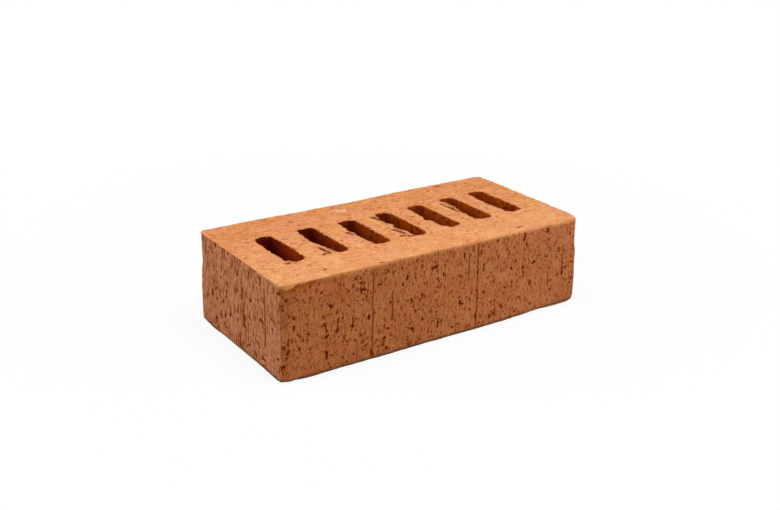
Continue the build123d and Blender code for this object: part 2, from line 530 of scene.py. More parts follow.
def perimeter_place(points):
    """Distance along the brick's outline, from the front left corner: along the front, up the right end, back
    along the rear and down the left end, by the nearest face."""
    x, y = points[:, 0], points[:, 1]
    gap = np.stack([y + WIDTH / 2, LENGTH / 2 - x, WIDTH / 2 - y, x + LENGTH / 2])
    place = np.stack([
        x + LENGTH / 2,
        LENGTH + y + WIDTH / 2,
        LENGTH + WIDTH + LENGTH / 2 - x,
        -(y + WIDTH / 2)])
    return np.take_along_axis(place, np.argmin(gap, axis=0)[None], axis=0)[0]


def strokes(along, up, marks):
    """How deep each point is in the nearest stroke, from 0 to 1: its distance to the stroke's line, over the
    half width, passes from 1 near the line to 0 a little beyond the half width."""
    depth = np.zeros(len(along))
    for first_along, first_up, last_along, last_up, half_width in marks:
        run_along, run_up = last_along - first_along, last_up - first_up
        share = ((along - first_along) * run_along + (up - first_up) * run_up) / (run_along**2 + run_up**2)
        share = np.clip(share, 0.0, 1.0)
        distance = np.hypot(along - first_along - share * run_along, up - first_up - share * run_up)
        depth = np.maximum(depth, 1.0 - smooth_step(*STROKE_EDGE, distance / half_width))
    return depth


def side_shares(out_x, out_y):
    """Shares of front, right, back and left in the direction that a point faces; they add up to one."""
    return np.stack([
        np.maximum(-out_y, 0.0) ** 2, np.maximum(out_x, 0.0) ** 2,
        np.maximum(out_y, 0.0) ** 2, np.maximum(-out_x, 0.0) ** 2])


def by_shares(at, weights):
    """Sum of the weights of front, right, back and left, each times the share of that face."""
    return np.sum(at.shares * np.array(weights)[:, None], axis=0)


def mouth_burrs(points, slot):
    """Thickness of the burrs on the left edge of the nearest slot: each rises smoothly to its middle, and one
    below zero is a bite."""
    thickness = np.zeros(len(points))
    for number, middle, half_length, height in MOUTH_BURRS:
        reach = np.abs(points[:, 1] - middle) / half_length
        thickness += (slot == number) * height * (1.0 - smooth_step(*BURR_EDGE, reach))
    return thickness


def measure(points, kinds):
    """Where each point of the sharp brick lies: its kind, half and depth below the nearer bed, its inset
    behind the outline and distance from the nearest slot, with the directions in which these two grow, the
    shares of the four faces, and the slot's left edge with its burrs."""
    is_bed = (kinds == TOP_BED) | (kinds == LOWER_BED)
    is_slot = kinds == SLOT_WALL
    top_half = points[:, 2] > HEIGHT / 2
    outside, out_x, out_y = outline_distance(points[:, 0], points[:, 1], LENGTH / 2, WIDTH / 2, ARRIS)
    inset = np.maximum(-outside, 0.0)
    from_slot, away_x, away_y, slot = nearest_slot(points)
    from_slot = np.maximum(from_slot, 0.0)
    left_edge = smooth_step(*LEFT_EDGE, -away_x) * top_half
    return SimpleNamespace(
        is_bed=is_bed,
        is_slot=is_slot,
        at_slot=is_slot | (is_bed & (from_slot < inset)),
        top_half=top_half,
        depth=np.where(top_half, HEIGHT - points[:, 2], points[:, 2]),
        inset=inset,
        out_x=out_x,
        out_y=out_y,
        from_slot=from_slot,
        away_x=away_x,
        away_y=away_y,
        slot=slot,
        shares=side_shares(out_x, out_y),
        left_edge=left_edge,
        burr=mouth_burrs(points, slot) * left_edge)


def rim_radii(points, at):
    """Radius of the rims: the upper one is sharp on the left end and rounder along the front and in the
    middle of the back, and the lower one is roundest at the rear of the left end and at the right of the
    front."""
    x, y = points[:, 0], points[:, 1]
    rise, *places = UPPER_BACK_RISE
    back = UPPER_BACK_RIM + rise * smooth_step(*places[:2], x) * (1.0 - smooth_step(*places[2:], x))
    ones = np.ones_like(x)
    upper = np.stack([passage(x, *UPPER_FRONT_RIM), UPPER_RIGHT_RIM * ones, back, UPPER_LEFT_RIM * ones])
    lower = np.stack([
        passage(x, *LOWER_FRONT_RIM), LOWER_RIM * ones, LOWER_RIM * ones, passage(y, *LOWER_LEFT_RIM)])
    radius = np.sum(at.shares * np.where(at.top_half, upper, lower), axis=0)
    return radius * (1.0 + layers(points, RIM_WAVES))


def reshape_arris(points, end_sign, face_sign, radii, share):
    """Draw an arris in or out to a quarter ellipse of the two radii: points move along the brick and across
    it by a tent that is highest one arris radius from the corner and fades out away from it."""
    from_end = LENGTH / 2 - end_sign * points[:, 0]
    from_face = WIDTH / 2 - face_sign * points[:, 1]
    stops = (0.0, ARRIS, ARRIS_REACH)
    along = share * np.interp(from_end, stops, (0.0, radii[0] - ARRIS, 0.0))
    across = share * np.interp(from_face, stops, (0.0, radii[1] - ARRIS, 0.0))
    along = along * (1.0 - smooth_step(*ARRIS_FADE, from_face))
    across = across * (1.0 - smooth_step(*ARRIS_FADE, from_end))
    return points - np.stack([end_sign * along, face_sign * across, np.zeros_like(along)], axis=1)


def rounded_brick(points, at):
    """Round the rims and the mouths, tear the mouths by noise and burrs that fade away from them, reshape
    three arrises, and shift the mouths the way the wire went. Returns the moved points and their
    normals."""
    new_depth, new_inset, to_bed, to_wall = round_edge(at.depth, at.inset, rim_radii(points, at))
    mouth_radius = MOUTH_RADIUS + layers(points, MOUTH_WAVES)
    slot_depth, slot_inset, slot_to_bed, slot_to_wall = round_edge(at.depth, at.from_slot, mouth_radius)

    least_tear = np.where(at.top_half, TOP_TEAR, LOWER_TEAR)
    tear = np.clip(layers(points, TEAR_WAVES), *TEAR_RANGE)
    tear = tear * np.maximum(at.left_edge * MOUTH_TEARS[at.slot], least_tear) - at.burr
    near_mouth = np.where(at.is_slot, np.exp(-at.depth / TEAR_DOWN), np.exp(-at.from_slot / TEAR_ALONG))
    torn = tear * near_mouth * at.at_slot

    inward = np.where(at.at_slot, 0.0, new_inset - at.inset)
    away = np.where(at.at_slot, slot_inset - at.from_slot + TEAR_SIDEWAYS * torn, 0.0)
    sunk = np.where(at.at_slot, slot_depth, new_depth) - at.depth
    sunk = sunk + at.is_bed * TEAR_SINK * np.maximum(torn, 0.0)
    facing = np.where(at.top_half, 1.0, -1.0)
    normals = np.stack([
        np.where(at.at_slot, -slot_to_wall * at.away_x, to_wall * at.out_x),
        np.where(at.at_slot, -slot_to_wall * at.away_y, to_wall * at.out_y),
        np.where(at.at_slot, slot_to_bed, to_bed) * facing], axis=1)

    uneven_height = points[:, 2] + layers(points, ARRIS_HEIGHT_WAVES)
    points = reshape_arris(points, -1.0, -1.0, NEAR_ARRIS, 1.0)
    points = reshape_arris(points, -1.0, 1.0, SHARP_ARRIS, smooth_step(*REAR_ARRIS_HEIGHTS, uneven_height))
    points = reshape_arris(points, 1.0, -1.0, SHARP_ARRIS, smooth_step(*RIGHT_ARRIS_HEIGHTS, uneven_height))
    shifted = (1.0 - smooth_step(0.0, MOUTH_REACH, at.from_slot)) * smooth_step(*MOUTH_HEIGHTS, points[:, 2])
    moves = np.stack([
        away * at.away_x - inward * at.out_x + shifted * MOUTH_ALONG[at.slot],
        away * at.away_y - inward * at.out_y + shifted * MOUTH_ACROSS[at.slot],
        -sunk * facing], axis=1)
    return points + moves, normals


def end_share(at):
    """Share of the ends in the direction that a point faces, with the near left arris as an ellipse."""
    along_square, across_square = np.square(NEAR_ARRIS)
    left = at.shares[3] * across_square
    left = left / (left + at.shares[0] * along_square)
    return at.shares[1] + np.where(at.out_y < 0.0, left, at.shares[3])


def face_pits(points, at, bed, side, end):
    """Depth of the pits, from 0 to 1: those scattered over each kind of face, and the strokes of the front,
    the left end and the upper bed. Noise shakes all their outlines."""
    wobble = layers(points, PIT_PLACE_WAVES)
    x, y = points[:, 0] + wobble, points[:, 1] + wobble
    back_y = points[:, 1] - wobble
    up = points[:, 2] + layers(points, PIT_HEIGHT_WAVES)
    place = perimeter_place(points) + wobble
    long_pit = scattered_pits(place, up, *LONG_PITS) * passage(points[:, 0], *LONG_PIT_SHARES)
    end_pit = scattered_pits(place, up, *END_PITS)
    bed_pit = scattered_pits(x, back_y, *BED_PITS)
    front_pit = strokes(x + LENGTH / 2, up, FRONT_STROKES) * (at.shares[0] > FACE_SHARE)
    left_pit = strokes(y + WIDTH / 2, up, LEFT_STROKES) * (at.shares[3] > FACE_SHARE)
    top_pit = strokes(x, back_y, TOP_STROKES) * at.top_half * at.is_bed
    side_pit = np.maximum(long_pit * (1.0 - end) + end_pit * end, np.maximum(front_pit, left_pit))
    return side * side_pit + bed * np.maximum(bed_pit, top_pit)


def dragged_clay(points, at):
    """Clay dragged over the upper rim: how far each point is in the raised tongue, in the painted shade below
    the dragged clay, and in the thin film of it, each from 0 to 1 by its depth below the bed."""
    from_left = points[:, 0] + LENGTH / 2
    upper_side = at.top_half * ~at.at_slot
    on_front = at.shares[0] * upper_side
    drop = LIP_DROP * passage(from_left, *LIP_CORNER) * (1.0 - smooth_step(*LIP_TAPER, from_left))
    below_lip = at.depth - np.maximum(drop, DRAG_FRONT) + layers(points, LIP_WAVES)
    lip = on_front * (1.0 - smooth_step(*LIP_EDGE, below_lip)) * smooth_step(*LIP_LEAST, drop)
    shade = on_front * smooth_step(*SHADE_TOP, below_lip) * (1.0 - smooth_step(*SHADE_FOOT, below_lip))
    shade = shade * (1.0 - smooth_step(*SHADE_FADE, from_left))
    left_reach = passage(points[:, 1], *DRAG_LEFT)
    reach = np.maximum(DRAG_FRONT * at.shares[0], left_reach * at.shares[3]) + drop * at.shares[0]
    below_film = at.depth + layers(points, DRAG_WAVES) - reach
    film = upper_side * (1.0 - smooth_step(*DRAG_EDGE, below_film / passage(from_left, *DRAG_SOFTNESS)))
    return lip, shade, film


def rim_bites(points, at):
    """Depth of the bites out of the rims: noise above a level, fading out away from the rim."""
    near_rim = np.exp(-(at.depth + at.inset) / BITE_REACH) * ~at.at_slot
    weight = by_shares(at, RIM_BITES) * np.where(at.top_half, 1.0, LOWER_BITES)
    return near_rim * weight * np.maximum(BITE_LEVEL + layers(points, BITE_WAVES), 0.0)


def grime(points, at, side):
    """Share of painted shade: a rim round the foot, up the sides and in under the brick, and a strip down the
    near right arris."""
    up_side = 1.0 - smooth_step(*FOOT_UP, at.depth + layers(points, FOOT_WAVES))
    under = 1.0 - smooth_step(*FOOT_UNDER, at.inset)
    foot = ~at.top_half * ~at.at_slot * up_side * under
    from_right = LENGTH / 2 - points[:, 0] + layers(points, PAINTED_SHADE_WAVES)
    turn = (at.out_y < 0.0) * (1.0 - smooth_step(*RIGHT_TURN, at.shares[1]))
    return np.maximum(foot, RIGHT_ARRIS_SHADE * side * turn * (1.0 - smooth_step(*RIGHT_REACH, from_right)))


def face_relief(points, at, bed, side):
    """Height of the faces' own relief: wide swell, drag marks of sides, beds and slots, fine grain, and
    wear that is deepest in the middle of each arris."""
    relief = ~at.is_slot * (layers(points, FACE_WAVES) - BED_INSET)
    relief -= side * (WALL_INSET - BED_INSET)
    relief += side * layers(points, SIDE_WAVES) + bed * layers(points, BED_WAVES)
    relief += at.is_slot * layers(points, SLOT_WAVES) + layers(points, GRAIN_WAVES)
    arris = side * (2.0 * at.out_x * at.out_y) ** 2
    return relief - arris * (ARRIS_WEAR + layers(points, ARRIS_WAVES))


def knock_corners(points):
    """Press back what sticks out of a plane across each knocked corner: the height h above the plane becomes
    h - s log(1 + exp(h / s)), with softness s, so that the break has soft edges."""
    half = np.array([LENGTH / 2, WIDTH / 2, HEIGHT / 2])
    for corner, way, depth in KNOCKED_CORNERS:
        direction = np.array(way) / np.linalg.norm(way)
        start = np.array(corner) * half + (0.0, 0.0, half[2]) - depth * direction
        height = (points - start) @ direction + layers(points, KNOCK_WAVES)
        points = points - np.logaddexp(0.0, height / KNOCK_SOFTNESS)[:, None] * KNOCK_SOFTNESS * direction
    return points


def raw_clay(at):
    """Share of raw clay on the beds: it fades out away from the mouths, and there is more at torn left
    edges."""
    torn = RAW_TEAR * MOUTH_TEARS[at.slot] + RAW_BURR * np.maximum(at.burr, 0.0)
    left = at.left_edge * torn * np.exp(-at.from_slot / RAW_REACH)
    return np.maximum(left, MOUTH_RAW * np.exp(-at.from_slot / MOUTH_RAW_REACH)) * at.is_bed


def pale_smear(points, at):
    """Share of the smear on the upper bed: a leaning oval whose edge is shaken by noise."""
    along = points[:, 0] - SMEAR_MIDDLE[0]
    across = points[:, 1] - SMEAR_MIDDLE[1] + SMEAR_LEAN * along
    reach = np.hypot(along / SMEAR_HALF[0], across / SMEAR_HALF[1]) + layers(points, SMEAR_WAVES)
    return (1.0 - smooth_step(*SMEAR_EDGE, reach)) * at.top_half * at.is_bed


def worn_brick():
    """The sharp brick, rounded at its rims and mouths, torn at the slots, moved along its normals by the
    relief of its faces, and knocked at its corners. Returns points, quads and the values that the material
    reads."""
    points, kinds, quads = sharp_brick()
    at = measure(points, kinds)
    points, normals = rounded_brick(points, at)
    bed = smooth_step(*BED_EDGE, np.abs(normals[:, 2])) * ~at.is_slot
    side = (1.0 - bed) * ~at.at_slot
    end = end_share(at)
    pit = face_pits(points, at, bed, side, end)
    lip, shade, film = dragged_clay(points, at)
    rim = by_shares(at, RIM_MARKS) * np.exp(-at.depth / RIM_MARKS_REACH)
    into_slot = np.where(at.is_slot, at.depth, np.where(at.at_slot, -at.from_slot, -MOUTH_FAR))
    values = {
        "bed": bed,
        "drag": film * side * (1.0 - shade),
        "pit": pit,
        "mouth": np.clip(into_slot, -MOUTH_FAR, MOUTH_FAR),
        "end": smooth_step(*END_EDGE, end) * ~at.at_slot,
        "rim": rim * side * np.where(at.top_half, 1.0, LOWER_MARKS),
        # The lip value is the painted shade below the dragged clay
        "lip": shade,
        # Painted shade at the foot and down the near right arris
        "grime": grime(points, at, side),
        "raw": raw_clay(at)}

    relief = face_relief(points, at, bed, side) + side * lip * LIP_THICKNESS
    relief -= PIT_DEPTH * pit + SHADE_DEPTH * shade + BITE_DEPTH * rim_bites(points, at)
    points = knock_corners(points + normals * relief[:, None])
    corner = np.array([LENGTH / 2, WIDTH / 2, HEIGHT])
    points = np.clip(points, (-corner[0], -corner[1], 0.0), corner)
    values["smear"] = pale_smear(points, at)
    return points, quads, values


def make_piece(name, points, quads, values):
    """Write points in metres, quads and one surface value per name into a smooth mesh object."""
    mesh = bpy.data.meshes.new(name)
    mesh.vertices.add(len(points))
    mesh.vertices.foreach_set("co", (points * MM).astype(np.float32).ravel())
    mesh.loops.add(quads.size)
    mesh.loops.foreach_set("vertex_index", quads.astype(np.int32).ravel())
    mesh.polygons.add(len(quads))
    mesh.polygons.foreach_set("loop_start", np.arange(0, quads.size, 4, dtype=np.int32))
    mesh.polygons.foreach_set("use_smooth", np.ones(len(quads), bool))
    for value_name, value in values.items():
        layer = mesh.attributes.new(value_name, "FLOAT", "POINT")
        layer.data.foreach_set("value", value.astype(np.float32))
    mesh.update(calc_edges=True)
    mesh.validate()
    piece = bpy.data.objects.new(name, mesh)
    bpy.context.collection.objects.link(piece)
    return piece


# Materials

# Colours of the clay, some as a darker and a lighter tone
LONG_TONES = ((0.495, 0.126, 0.027), (0.795, 0.306, 0.119))
LONG_BLUSH = (0.66, 0.21, 0.095)
LONG_OCHRE = (0.64, 0.215, 0.052)
END_TONES = ((0.52, 0.176, 0.068), (0.855, 0.354, 0.168))
BED_TONES = ((0.70, 0.225, 0.072), (0.90, 0.468, 0.196))
BED_BLUSH = (0.81, 0.33, 0.166)
BED_OCHRE = (0.88, 0.43, 0.145)
# The slots' colours are painted shade inside them, darkest in the left slots; it reaches a little past the
# mouths onto the beds
SLOT_LEFT = (0.43, 0.052, 0.004)
SLOT_RIGHT = (0.54, 0.092, 0.004)
SLOT_SHADE = (0.17, 0.008, 0.0015)
DRAG_COLOUR = (0.93, 0.375, 0.122)
# Colour of the painted shade below the dragged clay
UNDER_LIP_SHADE_COLOUR = (0.48, 0.112, 0.007)
# Colour of the painted shade at the foot and down the near right arris
PAINTED_SHADE_COLOUR = (0.13, 0.070, 0.045)
RAW_COLOUR = (0.81, 0.375, 0.205)
SMEAR_COLOUR = (0.90, 0.66, 0.46)
GRAIN_COLOUR = (0.88, 0.46, 0.23)

# Dark of the flecks and of the pits, on the sides and on the beds; in these hollows it is partly darker clay
# and partly painted shade
SIDE_FLECK = (0.36, 0.080, 0.011)
SIDE_PIT = (0.13, 0.011, 0.001)
BED_FLECK = (0.48, 0.125, 0.031)
BED_PIT = (0.19, 0.036, 0.008)

# Scratches down the walls: place at the head, place at the foot, lower end, upper end, half width and depth.
# On the front they are placed along X and on the left end along Y, in millimetres. Then how near to the face
# they start and are whole, how far they sway, their edge in half widths, and the length of their fading ends.
FRONT_SCRATCHES = (
    (-48.9, -50.1, 2.0, 59.0, 0.34, 0.85), (27.1, 27.5, 1.0, 59.5, 0.7, 0.6),
    (-36.2, -35.6, 20.0, 41.0, 0.7, 0.65), (20.3, 20.5, 36.0, 53.5, 0.5, 0.7),
    (97.1, 97.5, 20.0, 43.0, 0.5, 0.8), (84.9, 85.5, 15.0, 27.5, 0.45, 0.7))
LEFT_SCRATCHES = ((-33.0, -32.4, 14.0, 53.0, 0.8, 0.95), (-1.4, -0.6, 2.0, 16.0, 0.4, 0.7))
SCRATCH_INSET = (2.5, 1.0)
SCRATCH_SWAY = 0.7
SCRATCH_EDGE = (0.5, 1.5)
SCRATCH_FADE = 3.0

# Noise of the finish: scale per millimetre and detail, and how far the shaking moves a place
SHAKE = (0.9, 1.0)
SWAY = (0.16, 2.0)
GNAWING = (1.1, 2.0)
BLUSH = (0.05, 2.0)
OCHRE = (0.11, 2.0)
SHAKE_REACH = (1.1, 1.1, 1.1)

# Tone of the clay: how far it is drawn out along X, Y and Z, and how much drag, grain and patches it has
SIDE_TONE = {"Stretch": (1.0, 1.0, 7.0), "Drag": 1.3, "Grain": 1.3, "Patches": 0.7}
BED_TONE = {"Stretch": (6.0, 3.0, 3.0), "Drag": 1.5, "Grain": 2.1, "Patches": 0.75}

# Tears and dots of the sides: stretch and level on the long sides, the same on the ends, and strength; then
# how far the level goes down at a rim and with the sway
TEARS = (((1.9, 1.9, 3.2), 0.573), ((1.5, 1.5, 6.0), 0.555), 0.75)
DOTS = (((1.1, 1.1, 1.8), 0.547), ((1.0, 1.0, 4.0), 0.535), 0.42)
RIM_LEVEL = -0.03
SWAY_LEVEL = -0.1

# Specks: those of the sides, with a stretch on the long sides and one on the ends, those and the stains of
# the beds, pale grains and raw crumbs; and for all specks the range and least of their sizes, and their edge
SIDE_SPECKS = ((4.2, 4.2, 5.4), (3.2, 3.2, 8.0))
SIDE_SPECK_RADIUS = 0.28
BED_SPECKS = {"Stretch": (6.2, 3.4, 3.4), "Radius": 0.34}
BED_STAIN_STRETCH = (4.0, 2.1, 2.1)
SPECK_SIZES = (0.8, 0.35)
SPECK_EDGE = (0.35, 1.05, 1.0, 0.0)
GRAINS = {"Stretch": (3.0, 3.0, 3.0), "Share": 0.22, "Radius": 0.22}
CRUMBS = {"Stretch": (2.0, 2.0, 2.0), "Share": 0.6, "Radius": 0.42}

# Blots and grain in the slots
SLOT_BLOTS = {"Stretch": (5.0, 5.0, 9.0), "Level": 0.55}
SLOT_GRAIN = {"Stretch": (2.2, 2.2, 3.0), "Level": 0.47}

# Ramps: the value at the start and at the end, and the result at each, which is 0 and 1 where it isn't given
FLECK_EDGE = (0.0, 0.1)
TONE_RANGE = (-0.1, 1.1)
SLOT_EDGE = (-0.55, 0.15)
SPECK_SHARE = (0.0, 90.0, 0.58, 0.42)
FROM_FRONT = (-48.0, -15.0, 0.3, 1.0)
BED_STAIN_LEVEL = (-0.3, 0.3, 0.62, 0.56)
BED_SPECK_SHARE = (-0.3, 0.3, 0.12, 0.6)
CRUMB_EDGE = (0.1, 0.45)
PIT_EDGE = (0.2, 0.85)
SCRATCH_TONE = (0.2, 0.8, 1.0, 0.6)
# Painted light that grows to the right on the long sides, and painted shade beside the left arris
PAINTED_LIGHT_TO_RIGHT = (-LENGTH / 2, LENGTH / 2, -0.08, 0.14)
PAINTED_ARRIS_SHADE = (2.0 - LENGTH / 2, 9.0 - LENGTH / 2, -0.13, 0.0)
TO_BACK = (-0.6 * WIDTH / 2, WIDTH / 2, 0.0, 0.26)
LONG_OCHRE_SHARE = (0.48, 0.72, 0.0, 0.5)
LONG_BLUSH_SHARE = (-0.1, 0.5, 0.0, 0.6)
BED_OCHRE_SHARE = (0.48, 0.72, 0.0, 0.3)
BED_BLUSH_SHARE = (0.45, 0.7, 0.0, 0.5)
RAW_SHARE = (0.05, 0.6, 0.0, 0.6)
# Painted shade in the slots: to the left, to the back and at the mouths, and the passage between the slots'
# colours
SLOT_TO_LEFT = (60.0, -70.0, 0.2, 0.85)
SLOT_TO_BACK = (-15.0, 20.0)
SLOT_MOUTH = (0.5, -0.2, 0.0, 0.8)
SLOT_ALONG = (-65.0, 10.0)
FLECK_DARK = (0.0, 0.5)
PIT_DARK = (0.5, 1.0)
ROUGHNESS = (0.0, 1.0, 0.95, 0.82)

# How much of each layer shows, how much of the side marks the dragged clay covers, and the shine
BED_SPECK_STRENGTH = 0.75
BED_STAIN_STRENGTH = 0.45
FINE_DARK = 0.8
GRAIN_STRENGTH = 0.45
SMEAR_STRENGTH = 0.55
SLOT_BLOT_STRENGTH = 0.7
SLOT_GRAIN_STRENGTH = 0.3
UNDER_LIP_SHADE_STRENGTH = 0.9
PAINTED_SHADE_STRENGTH = 0.8
DRAG_COVER = 0.8
SPECULAR = 0.03

# Factor and offset of the noise that gnaws the edges of slots and of pits, and how far the sway moves the
# passage between the slots' colours
MOUTH_GNAWING = (7.0, -3.5)
PIT_GNAWING = (4.5, -1.2)
SLOT_SWAY = 25.0

# Bump: height of tone, fine marks and scratches, and how strong it is
TONE_HEIGHT = 0.4
FINE_HEIGHT = -0.7
SCRATCH_HEIGHT = -0.9
BUMP = {"Distance": 0.0004, "Strength": 0.8}

# Values of the surface that the material reads
SURFACE_VALUES = ("bed", "drag", "pit", "mouth", "end", "rim", "lip", "grime", "raw", "smear")


def add_node(tree, kind, inputs=None, **settings):
    """Add a node with the given settings, and link or set each named or numbered input."""
    made = tree.nodes.new(kind)
    for name, value in settings.items():
        setattr(made, name, value)
    for name, value in (inputs or {}).items():
        if isinstance(value, bpy.types.NodeSocket):
            tree.links.new(value, made.inputs[name])
        else:
            made.inputs[name].default_value = value
    return made


def calculate(tree, operation, *values):
    """Output of a math node on the given sockets and numbers."""
    return add_node(tree, "ShaderNodeMath", dict(enumerate(values)), operation=operation).outputs[0]


def product(tree, first, *others):
    """Product of sockets and numbers, one math node for each after the first."""
    for value in others:
        first = calculate(tree, "MULTIPLY", first, value)
    return first


def highest(tree, first, *others):
    """Greatest of sockets and numbers, one math node for each after the first."""
    for value in others:
        first = calculate(tree, "MAXIMUM", first, value)
    return first


def ramp(tree, value, low, high, low_result=0.0, high_result=1.0):
    """Smooth step of a value from one result at low to another at high."""
    inputs = {"Value": value, "From Min": low, "From Max": high, "To Min": low_result, "To Max": high_result}
    return add_node(tree, "ShaderNodeMapRange", inputs, interpolation_type="SMOOTHSTEP").outputs[0]


def blend(tree, share, first, second):
    """Colour between two colours or colour sockets."""
    inputs = {0: share}
    for number, colour in ((6, first), (7, second)):
        inputs[number] = colour if isinstance(colour, bpy.types.NodeSocket) else (*colour, 1.0)
    return add_node(tree, "ShaderNodeMix", inputs, data_type="RGBA").outputs[2]


def clouds(tree, position, scale, detail):
    """Outputs of a noise node: its value and its colour."""
    inputs = {"Vector": position, "Scale": scale, "Detail": detail}
    return add_node(tree, "ShaderNodeTexNoise", inputs).outputs


def new_group(name, vectors, numbers, output):
    """Empty shader node group with the named vector and number inputs and one output of numbers. Returns its
    tree, its input sockets and the socket that takes its result."""
    tree = bpy.data.node_groups.new(name, "ShaderNodeTree")
    for kind, sockets in (("NodeSocketVector", vectors), ("NodeSocketFloat", numbers)):
        for socket in sockets:
            tree.interface.new_socket(socket, in_out="INPUT", socket_type=kind)
    tree.interface.new_socket(output, in_out="OUTPUT", socket_type="NodeSocketFloat")
    given = tree.nodes.new("NodeGroupInput").outputs
    return tree, given, tree.nodes.new("NodeGroupOutput").inputs[output]


def add_group(tree, group, inputs):
    """Output of a node group that is placed with its own input values."""
    return add_node(tree, "ShaderNodeGroup", inputs, node_tree=group).outputs[0]


def drawn_out(tree, given):
    """Position over the stretch, so that a pattern on it is drawn out along each axis."""
    inputs = {0: given["Position"], 1: given["Stretch"]}
    return add_node(tree, "ShaderNodeVectorMath", inputs, operation="DIVIDE").outputs[0]


def specks_group():
    """Specks: random cells of the given size hold one speck each, of random radius, or none."""
    tree, given, result = new_group("specks", ("Position", "Stretch"), ("Share", "Radius"), "Mask")
    cells = add_node(tree, "ShaderNodeTexVoronoi", {"Vector": drawn_out(tree, given), "Scale": 1.0})
    draws = add_node(tree, "ShaderNodeSeparateColor", {0: cells.outputs["Color"]})
    kept = calculate(tree, "LESS_THAN", draws.outputs[0], given["Share"])
    size = calculate(tree, "MULTIPLY_ADD", draws.outputs[1], *SPECK_SIZES)
    radius = product(tree, size, given["Radius"])
    reach = calculate(tree, "DIVIDE", cells.outputs["Distance"], radius)
    speck = ramp(tree, reach, *SPECK_EDGE)
    tree.links.new(product(tree, kept, speck), result)
    return tree


def flecks_group():
    """Flecks: where noise that is drawn out by the stretch rises above the level."""
    tree, given, result = new_group("flecks", ("Position", "Stretch"), ("Level",), "Mask")
    above = calculate(tree, "SUBTRACT", clouds(tree, drawn_out(tree, given), 1.0, 2.0)[0], given["Level"])
    tree.links.new(ramp(tree, above, *FLECK_EDGE), result)
    return tree


def tone_group():
    """Tone of dragged clay, about 0.5: fine noise drawn out by the stretch, even grain and wide patches."""
    tree, given, result = new_group(
        "clay_tone", ("Position", "Stretch"), ("Drag", "Grain", "Patches"), "Tone")
    total = 0.5
    for vector, scale, detail, weight in (
            (drawn_out(tree, given), 1.0, 3.0, "Drag"),
            (given["Position"], 1.0, 2.0, "Grain"),
            (given["Position"], 0.075, 2.0, "Patches")):
        centred = calculate(tree, "SUBTRACT", clouds(tree, vector, scale, detail)[0], 0.5)
        total = calculate(tree, "MULTIPLY_ADD", centred, given[weight], total)
    tree.links.new(ramp(tree, total, *TONE_RANGE), result)
    return tree


def scratch_group():
    """Scratch down a wall: one along the line from its head to its foot, fading out at the half width and at
    both ends."""
    numbers = ("Across", "Up", "Head", "Foot", "Low", "High", "Half Width")
    tree, given, result = new_group("scratch", (), numbers, "Mask")
    rise = calculate(tree, "DIVIDE", given["Up"], HEIGHT)
    lean = calculate(tree, "SUBTRACT", given["Head"], given["Foot"])
    line = calculate(tree, "MULTIPLY_ADD", lean, rise, given["Foot"])
    distance = calculate(tree, "ABSOLUTE", calculate(tree, "SUBTRACT", given["Across"], line))
    reach = calculate(tree, "DIVIDE", distance, given["Half Width"])
    core = ramp(tree, reach, *SCRATCH_EDGE, 1.0, 0.0)
    over_foot = ramp(tree, calculate(tree, "SUBTRACT", given["Up"], given["Low"]), 0.0, SCRATCH_FADE)
    under_head = ramp(tree, calculate(tree, "SUBTRACT", given["High"], given["Up"]), 0.0, SCRATCH_FADE)
    tree.links.new(product(tree, core, product(tree, over_foot, under_head)), result)
    return tree


def clay_places(tree):
    """What the finish reads: the surface values, the position in millimetres and its axes, that position
    shaken by noise, slow sway from -1 to 1, quick gnawing noise, and the shares of slots, whose edges are
    gnawed, and sides."""
    at = SimpleNamespace(**{
        name: add_node(tree, "ShaderNodeAttribute", attribute_name=name).outputs["Fac"]
        for name in SURFACE_VALUES})
    place = add_node(tree, "ShaderNodeTexCoord").outputs["Object"]
    in_millimetres = {0: place, "Scale": 1.0 / MM}
    at.position = add_node(tree, "ShaderNodeVectorMath", in_millimetres, operation="SCALE").outputs[0]
    at.axes = add_node(tree, "ShaderNodeSeparateXYZ", {0: at.position}).outputs
    shaken = {0: clouds(tree, at.position, *SHAKE)["Color"], 1: SHAKE_REACH, 2: at.position}
    at.ragged = add_node(tree, "ShaderNodeVectorMath", shaken, operation="MULTIPLY_ADD").outputs[0]
    at.sway = calculate(tree, "MULTIPLY_ADD", clouds(tree, at.position, *SWAY)[0], 2.0, -1.0)
    at.gnawing = clouds(tree, at.position, *GNAWING)[0]
    bitten = calculate(tree, "ADD", at.mouth, calculate(tree, "MULTIPLY_ADD", at.gnawing, *MOUTH_GNAWING))
    at.slot = ramp(tree, bitten, *SLOT_EDGE)
    side = calculate(tree, "SUBTRACT", calculate(tree, "SUBTRACT", 1.0, at.bed), at.slot)
    at.side = product(tree, side, calculate(tree, "MULTIPLY_ADD", at.drag, -DRAG_COVER, 1.0))
    return at


def by_side(tree, at, on_long, on_end):
    """One mask on the long sides and another on the ends."""
    on_long = product(tree, on_long, calculate(tree, "SUBTRACT", 1.0, at.end))
    return calculate(tree, "MULTIPLY_ADD", on_end, at.end, on_long)


def side_marks(tree, at, flecks, specks):
    """Fine marks of the sides: the strongest of tears, dots and specks. There are more tears and dots near
    the rims and where the sway is high, and fewer specks to the right."""
    marks = []
    rim_level = calculate(tree, "MULTIPLY_ADD", at.rim, RIM_LEVEL, product(tree, at.sway, SWAY_LEVEL))
    for on_long, on_end, strength in (TEARS, DOTS):
        masks = []
        for stretch, level in (on_long, on_end):
            level = calculate(tree, "ADD", rim_level, level)
            masks.append(add_group(tree, flecks, {"Position": at.ragged, "Stretch": stretch, "Level": level}))
        marks.append(product(tree, by_side(tree, at, *masks), strength))
    share = ramp(tree, at.axes[0], *SPECK_SHARE)
    shared = {"Position": at.ragged, "Share": share, "Radius": SIDE_SPECK_RADIUS}
    masks = [add_group(tree, specks, {**shared, "Stretch": stretch}) for stretch in SIDE_SPECKS]
    marks.append(by_side(tree, at, *masks))
    return product(tree, highest(tree, *marks), at.side)


